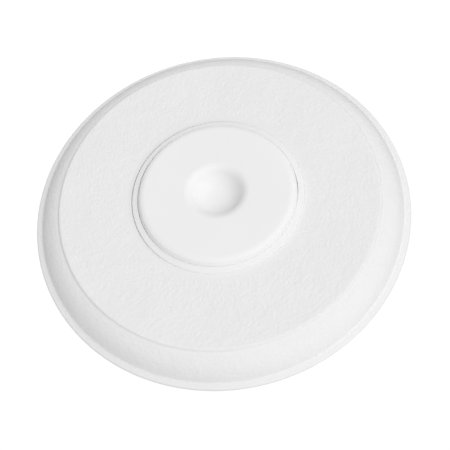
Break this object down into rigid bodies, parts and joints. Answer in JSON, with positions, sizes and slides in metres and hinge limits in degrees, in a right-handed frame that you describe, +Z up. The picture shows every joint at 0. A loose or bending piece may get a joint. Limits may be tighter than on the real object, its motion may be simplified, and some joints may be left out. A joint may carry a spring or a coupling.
{
  "type": "concealed fire sprinkler head",
  "caption": "Concealed pendent fire sprinkler head: round textured ceiling plate with a dimpled drop-out cover, support cup, drop-down deflector, valve and lever release.",
  "frame": {"origin": "centre of the inlet thread's end face, where the head hangs from its pipe fitting", "axes": "+Z up along the waterway, so the visible face looks along -Z; the two levers lie along X and the two guide pins along Y"},
  "size_m": [0.127, 0.127, 0.0661],
  "materials": {
    "white_grained_plastic": "matte white moulding with a fine leather grain",
    "white_coating": "smooth satin white coating",
    "brass": "machined",
    "bronze": "rolled and stamped",
    "zinc_plated_steel": "zinc plated",
    "spring_steel": "bright rolled",
    "solder": "dull fusible alloy",
    "seal_film": "smooth film"
  },
  "bodies": {
    "sprinkler": {"sprinkler_body": "brass", "support_cup": "zinc_plated_steel", "cup_retaining_ring": "spring_steel"},
    "trim_assembly": {"retainer_sleeve": "zinc_plated_steel", "trim_ring": "white_coating", "ceiling_plate": "white_grained_plastic", "plate_clip": "spring_steel"},
    "cover": {"cover_disc": "white_coating", "ejection_spring": "spring_steel", "cover_solder_pad_1": "solder", "cover_solder_pad_2": "solder", "cover_solder_pad_3": "solder"},
    "deflector_carriage": {"deflector": "brass", "guide_pin_front": "spring_steel", "guide_pin_back": "spring_steel", "pin_stop_front": "brass", "pin_stop_back": "brass"},
    "valve": {"valve_cap": "bronze", "sealing_spring": "spring_steel", "seal_film": "seal_film", "saddle_plate": "spring_steel", "load_screw": "brass"},
    "release_left": {"lever_left": "brass", "link_plate_left": "bronze", "solder_film": "solder"},
    "release_right": {"lever_right": "brass", "link_plate_right": "bronze"}
  },
  "joints": [
    {"name": "trim_adjust", "type": "slide", "parent": "sprinkler", "child": "trim_assembly", "axis": [0, 0, -1], "range_m": [0, 0.0127]},
    {"name": "cover_drop", "type": "slide", "parent": "trim_assembly", "child": "cover", "axis": [0, 0, -1], "range_m": [0, 0.06]},
    {"name": "deflector_drop", "type": "slide", "parent": "sprinkler", "child": "deflector_carriage", "axis": [0, 0, -1], "range_m": [0, 0.0121]},
    {"name": "valve_release", "type": "slide", "parent": "sprinkler", "child": "valve", "axis": [0, 0, -1], "range_m": [0, 0.00384]},
    {"name": "left_lever_release", "type": "hinge", "parent": "sprinkler", "child": "release_left", "pos_m": [-0.0103, 0, -0.0377], "axis": [0, 1, 0], "range_deg": [0, 40.1]},
    {"name": "right_lever_release", "type": "hinge", "parent": "sprinkler", "child": "release_right", "pos_m": [0.0103, 0, -0.0377], "axis": [0, -1, 0], "range_deg": [0, 40.1]}
  ],
  "couplings": [
    {"joint": "deflector_drop", "follows": "cover_drop", "ratio": 0.2},
    {"joint": "left_lever_release", "follows": "valve_release", "rad_per_m": 181.8},
    {"joint": "right_lever_release", "follows": "valve_release", "rad_per_m": 181.8}
  ]
}
